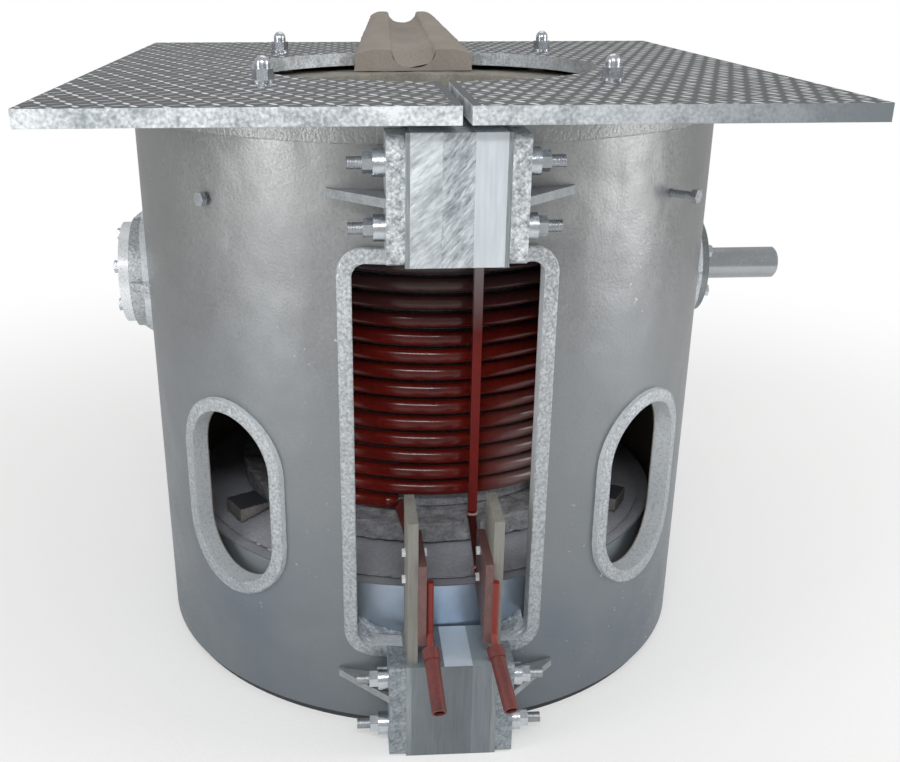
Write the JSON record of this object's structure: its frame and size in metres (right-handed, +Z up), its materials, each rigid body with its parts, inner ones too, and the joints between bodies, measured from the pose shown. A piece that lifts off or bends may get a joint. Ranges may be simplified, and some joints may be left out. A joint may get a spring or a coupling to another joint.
{
  "type": "tilting induction melting furnace",
  "caption": "Tilting crucible furnace in a cast shell, with a water-cooled coil seen through its front window, a square working platform, a pouring spout and a stub axle",
  "frame": {"origin": "centre of the base on the ground, under the middle of the crucible", "axes": "+X along the tilt axis out of the stub axle, -Y out of the front window, +Y along the pouring spout, +Z up"},
  "size_m": [1.176, 1.2459, 1.047],
  "materials": {
    "cast_aluminium": "rough sand-cast, aluminium painted",
    "checker_plate": "raised lens pattern",
    "floor_steel": "dull black paint",
    "clamp_strip": "sawn laminate edge",
    "clamp_block": "aluminium painted laminate",
    "stud_steel": "threaded",
    "zinc_steel": "zinc plated",
    "axle_steel": "turned, oiled",
    "bush_bronze": "turned",
    "drum_sheet": "smooth sheet",
    "cement": "trowelled cement",
    "brick": "rough brick",
    "crucible_refractory": "rammed refractory",
    "spout_refractory": "cast refractory",
    "varnished_copper": "dark red insulating varnish",
    "painted_copper": "red paint",
    "post_laminate": "varnished laminated wood",
    "board_laminate": "pressed board, sawn edges"
  },
  "bodies": {
    "axle": {"stub_axle": "axle_steel"},
    "furnace": {"shell_lower_left": "cast_aluminium", "shell_lower_right": "cast_aluminium", "shell_upper_left": "cast_aluminium", "shell_upper_right": "cast_aluminium", "shell_back": "cast_aluminium", "top_rim": "cast_aluminium", "floor_plate": "floor_steel", "upper_ear_left": "cast_aluminium", "upper_ear_right": "cast_aluminium", "lower_ear_left": "cast_aluminium", "lower_ear_right": "cast_aluminium", "ear_fins": "cast_aluminium", "upper_clamp_strips": "clamp_strip", "upper_clamp_block_left": "clamp_block", "upper_clamp_block_middle": "clamp_block", "upper_clamp_block_right": "clamp_block", "lower_clamp_strips": "clamp_strip", "lower_clamp_block_left": "clamp_block", "lower_clamp_block_middle": "clamp_block", "lower_clamp_block_right": "clamp_block", "clamp_studs": "stud_steel", "clamp_bushes": "zinc_steel", "clamp_nuts": "zinc_steel", "platform_left": "checker_plate", "platform_right": "checker_plate", "platform_studs": "stud_steel", "platform_washers": "zinc_steel", "platform_cap_nuts": "zinc_steel", "platform_lock_nuts": "zinc_steel", "axle_housing": "cast_aluminium", "axle_bush": "bush_bronze", "axle_cover": "cast_aluminium", "axle_cover_bolts": "zinc_steel", "drive_flange": "cast_aluminium", "drive_flange_bolts": "zinc_steel", "base_drum": "drum_sheet", "base_refractory": "cement", "cement_shoulder": "cement", "coil_seat": "cement", "floor_blocks": "brick", "crucible_lining": "crucible_refractory", "coil_cement": "cement", "mouth_ring": "crucible_refractory", "pouring_spout": "spout_refractory", "induction_coil": "varnished_copper", "coil_posts": "post_laminate", "side_bolts": "zinc_steel", "upper_lead": "varnished_copper", "lower_lead": "varnished_copper", "rail_foot_lead": "varnished_copper", "terminal_bar_left": "painted_copper", "terminal_bar_right": "painted_copper", "hose_tail_left": "painted_copper", "hose_tail_right": "painted_copper", "terminal_board_left": "board_laminate", "terminal_board_right": "board_laminate", "terminal_bolts": "zinc_steel"}
  },
  "joints": [
    {"name": "tilt", "type": "hinge", "parent": "axle", "child": "furnace", "pos_m": [0, 0, 0.638], "axis": [-1, 0, 0], "range_deg": [0, 95]}
  ]
}
